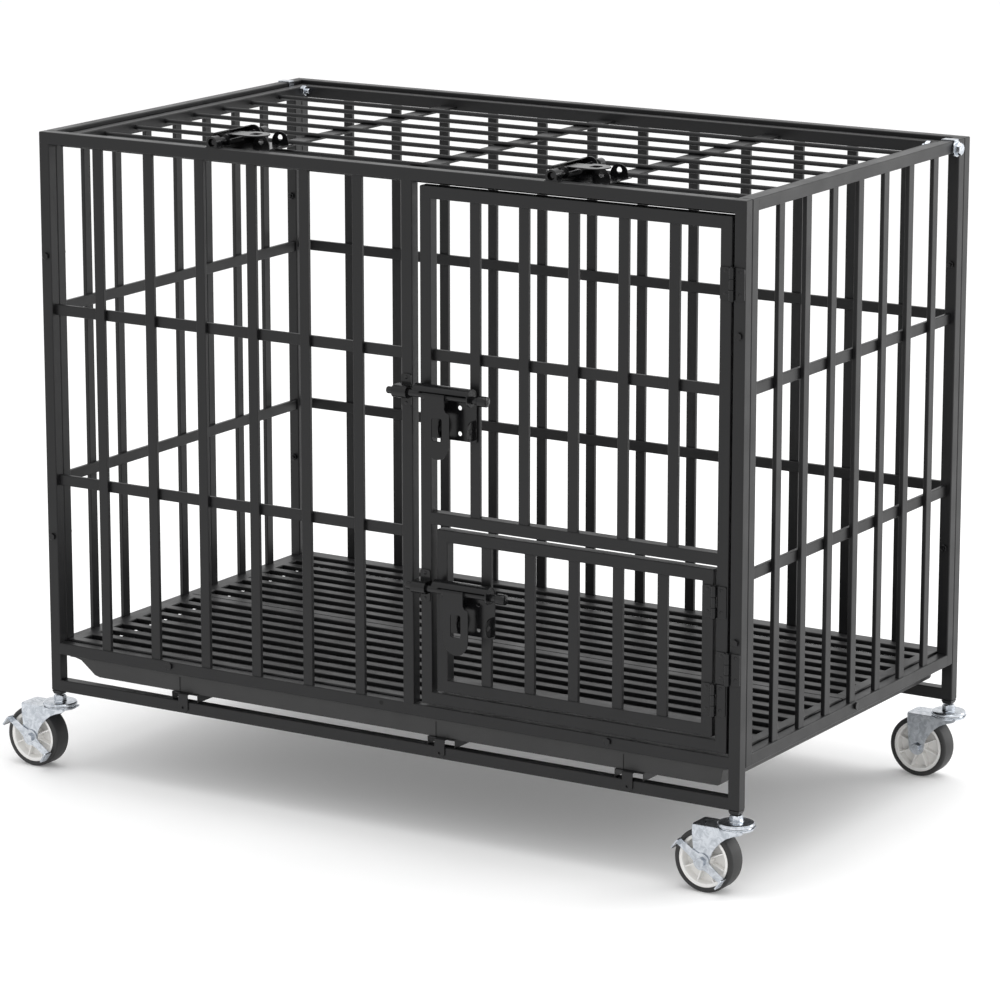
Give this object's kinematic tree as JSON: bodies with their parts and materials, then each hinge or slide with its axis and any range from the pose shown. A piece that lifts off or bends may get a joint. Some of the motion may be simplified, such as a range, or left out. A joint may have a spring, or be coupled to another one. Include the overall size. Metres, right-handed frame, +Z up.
{
  "type": "dog crate",
  "caption": "Tall steel tube dog crate on swivel casters, with a barred door, a small feeding door inside it, a hinged barred lid, slide bolts and a pull-out tray.",
  "frame": {"origin": "centre of the cage's footprint, on the floor that the wheels stand on", "axes": "+X along the length towards the door's hinge side, -Y out of the door side, +Z up"},
  "size_m": [1.3525, 0.7653, 1.0492],
  "materials": {
    "powder_coat": "semi-matte black powder coat on steel tube",
    "black_steel": "satin black coated hardware",
    "zinc": "bright zinc plate",
    "tray_plastic": "matte black moulded tray",
    "hub_plastic": "off-white moulded hub",
    "rubber": "black tread"
  },
  "bodies": {
    "cage": {"front_panel": "powder_coat", "front_bars": "powder_coat", "back_panel": "powder_coat", "left_panel": "powder_coat", "right_panel": "powder_coat", "floor_grate_front": "powder_coat", "floor_grate_back": "powder_coat", "tray_runner_left": "powder_coat", "tray_runner_middle": "powder_coat", "tray_runner_right": "powder_coat", "lid_pivot_left": "zinc", "lid_pivot_right": "zinc", "main_hinge_lower_post_leaf": "black_steel", "main_hinge_upper_post_leaf": "black_steel", "main_latch_keeper": "black_steel", "caster_front_left_stem": "zinc", "caster_front_right_stem": "zinc", "caster_back_left_stem": "zinc", "caster_back_right_stem": "zinc"},
    "main_door": {"main_door": "powder_coat", "main_hinge_lower_door_leaf": "black_steel", "main_hinge_upper_door_leaf": "black_steel", "small_hinge_lower_frame_leaf": "black_steel", "small_hinge_upper_frame_leaf": "black_steel", "main_latch_base": "black_steel", "small_latch_keeper": "black_steel"},
    "small_door": {"small_door": "powder_coat", "small_hinge_lower_door_leaf": "black_steel", "small_hinge_upper_door_leaf": "black_steel", "small_latch_base": "black_steel"},
    "lid": {"lid": "powder_coat", "lid_latch_left_base": "black_steel", "lid_latch_right_base": "black_steel"},
    "tray": {"tray": "tray_plastic"},
    "main_latch_rod": {"main_latch_rod": "black_steel"},
    "main_latch_tongue": {"main_latch_tongue": "black_steel"},
    "small_latch_rod": {"small_latch_rod": "black_steel"},
    "small_latch_tongue": {"small_latch_tongue": "black_steel"},
    "lid_latch_left_rod": {"lid_latch_left_rod": "black_steel"},
    "lid_latch_left_tongue": {"lid_latch_left_tongue": "black_steel"},
    "lid_latch_right_rod": {"lid_latch_right_rod": "black_steel"},
    "lid_latch_right_tongue": {"lid_latch_right_tongue": "black_steel"},
    "caster_front_left_fork": {"caster_front_left_fork": "zinc", "caster_front_left_axle": "zinc"},
    "caster_front_left_wheel": {"caster_front_left_hub": "hub_plastic", "caster_front_left_tyre": "rubber"},
    "caster_front_left_pedal": {"caster_front_left_brake_pedal": "zinc"},
    "caster_front_right_fork": {"caster_front_right_fork": "zinc", "caster_front_right_axle": "zinc"},
    "caster_front_right_wheel": {"caster_front_right_hub": "hub_plastic", "caster_front_right_tyre": "rubber"},
    "caster_front_right_pedal": {"caster_front_right_brake_pedal": "zinc"},
    "caster_back_left_fork": {"caster_back_left_fork": "zinc", "caster_back_left_axle": "zinc"},
    "caster_back_left_wheel": {"caster_back_left_hub": "hub_plastic", "caster_back_left_tyre": "rubber"},
    "caster_back_right_fork": {"caster_back_right_fork": "zinc", "caster_back_right_axle": "zinc"},
    "caster_back_right_wheel": {"caster_back_right_hub": "hub_plastic", "caster_back_right_tyre": "rubber"}
  },
  "joints": [
    {"name": "main_door_hinge", "type": "hinge", "parent": "cage", "child": "main_door", "pos_m": [0.6045, -0.3619, 0.6], "axis": [0, 0, 1], "range_deg": [0, 150]},
    {"name": "small_door_hinge", "type": "hinge", "parent": "main_door", "child": "small_door", "pos_m": [0.58105, -0.3619, 0.36], "axis": [0, 0, 1], "range_deg": [0, 95]},
    {"name": "lid_hinge", "type": "hinge", "parent": "cage", "child": "lid", "pos_m": [0, 0.306, 1.0155], "axis": [-1, 0, 0], "range_deg": [0, 110]},
    {"name": "tray_slide", "type": "slide", "parent": "cage", "child": "tray", "axis": [0, -1, 0], "range_m": [0, 0.6]},
    {"name": "main_latch_slide", "type": "slide", "parent": "main_door", "child": "main_latch_rod", "axis": [1, 0, 0], "range_m": [0, 0.0385]},
    {"name": "main_latch_tongue_hinge", "type": "hinge", "parent": "main_latch_rod", "child": "main_latch_tongue", "pos_m": [0.028, -0.3715, 0.694], "axis": [-1, 0, 0], "range_deg": [0, 70]},
    {"name": "small_latch_slide", "type": "slide", "parent": "small_door", "child": "small_latch_rod", "axis": [1, 0, 0], "range_m": [0, 0.0385]},
    {"name": "small_latch_tongue_hinge", "type": "hinge", "parent": "small_latch_rod", "child": "small_latch_tongue", "pos_m": [0.06, -0.3715, 0.398], "axis": [-1, 0, 0], "range_deg": [0, 70]},
    {"name": "lid_latch_left_slide", "type": "slide", "parent": "lid", "child": "lid_latch_left_rod", "axis": [0, 1, 0], "range_m": [0, 0.0385]},
    {"name": "lid_latch_left_tongue_hinge", "type": "hinge", "parent": "lid_latch_left_rod", "child": "lid_latch_left_tongue", "pos_m": [-0.298, -0.387, 1.036], "axis": [0, -1, 0], "range_deg": [0, 70]},
    {"name": "lid_latch_right_slide", "type": "slide", "parent": "lid", "child": "lid_latch_right_rod", "axis": [0, 1, 0], "range_m": [0, 0.0385]},
    {"name": "lid_latch_right_tongue_hinge", "type": "hinge", "parent": "lid_latch_right_rod", "child": "lid_latch_right_tongue", "pos_m": [0.302, -0.387, 1.036], "axis": [0, -1, 0], "range_deg": [0, 70]},
    {"name": "caster_front_left_swivel", "type": "hinge", "parent": "cage", "child": "caster_front_left_fork", "pos_m": [-0.6155, -0.348, 0.1], "axis": [0, 0, 1], "continuous": true},
    {"name": "caster_front_left_wheel_spin", "type": "hinge", "parent": "caster_front_left_fork", "child": "caster_front_left_wheel", "pos_m": [-0.6605, -0.348, 0.049], "axis": [0, 1, 0], "continuous": true},
    {"name": "caster_front_left_pedal_rock", "type": "hinge", "parent": "caster_front_left_fork", "child": "caster_front_left_pedal", "pos_m": [-0.6605, -0.348, 0.049], "axis": [0, -1, 0], "range_deg": [0, 20]},
    {"name": "caster_front_right_swivel", "type": "hinge", "parent": "cage", "child": "caster_front_right_fork", "pos_m": [0.6155, -0.348, 0.1], "axis": [0, 0, 1], "continuous": true},
    {"name": "caster_front_right_wheel_spin", "type": "hinge", "parent": "caster_front_right_fork", "child": "caster_front_right_wheel", "pos_m": [0.5705, -0.348, 0.049], "axis": [0, 1, 0], "continuous": true},
    {"name": "caster_front_right_pedal_rock", "type": "hinge", "parent": "caster_front_right_fork", "child": "caster_front_right_pedal", "pos_m": [0.5705, -0.348, 0.049], "axis": [0, -1, 0], "range_deg": [0, 20]},
    {"name": "caster_back_left_swivel", "type": "hinge", "parent": "cage", "child": "caster_back_left_fork", "pos_m": [-0.6155, 0.348, 0.1], "axis": [0, 0, 1], "continuous": true},
    {"name": "caster_back_left_wheel_spin", "type": "hinge", "parent": "caster_back_left_fork", "child": "caster_back_left_wheel", "pos_m": [-0.6605, 0.348, 0.049], "axis": [0, 1, 0], "continuous": true},
    {"name": "caster_back_right_swivel", "type": "hinge", "parent": "cage", "child": "caster_back_right_fork", "pos_m": [0.6155, 0.348, 0.1], "axis": [0, 0, 1], "continuous": true},
    {"name": "caster_back_right_wheel_spin", "type": "hinge", "parent": "caster_back_right_fork", "child": "caster_back_right_wheel", "pos_m": [0.5705, 0.348, 0.049], "axis": [0, 1, 0], "continuous": true}
  ]
}
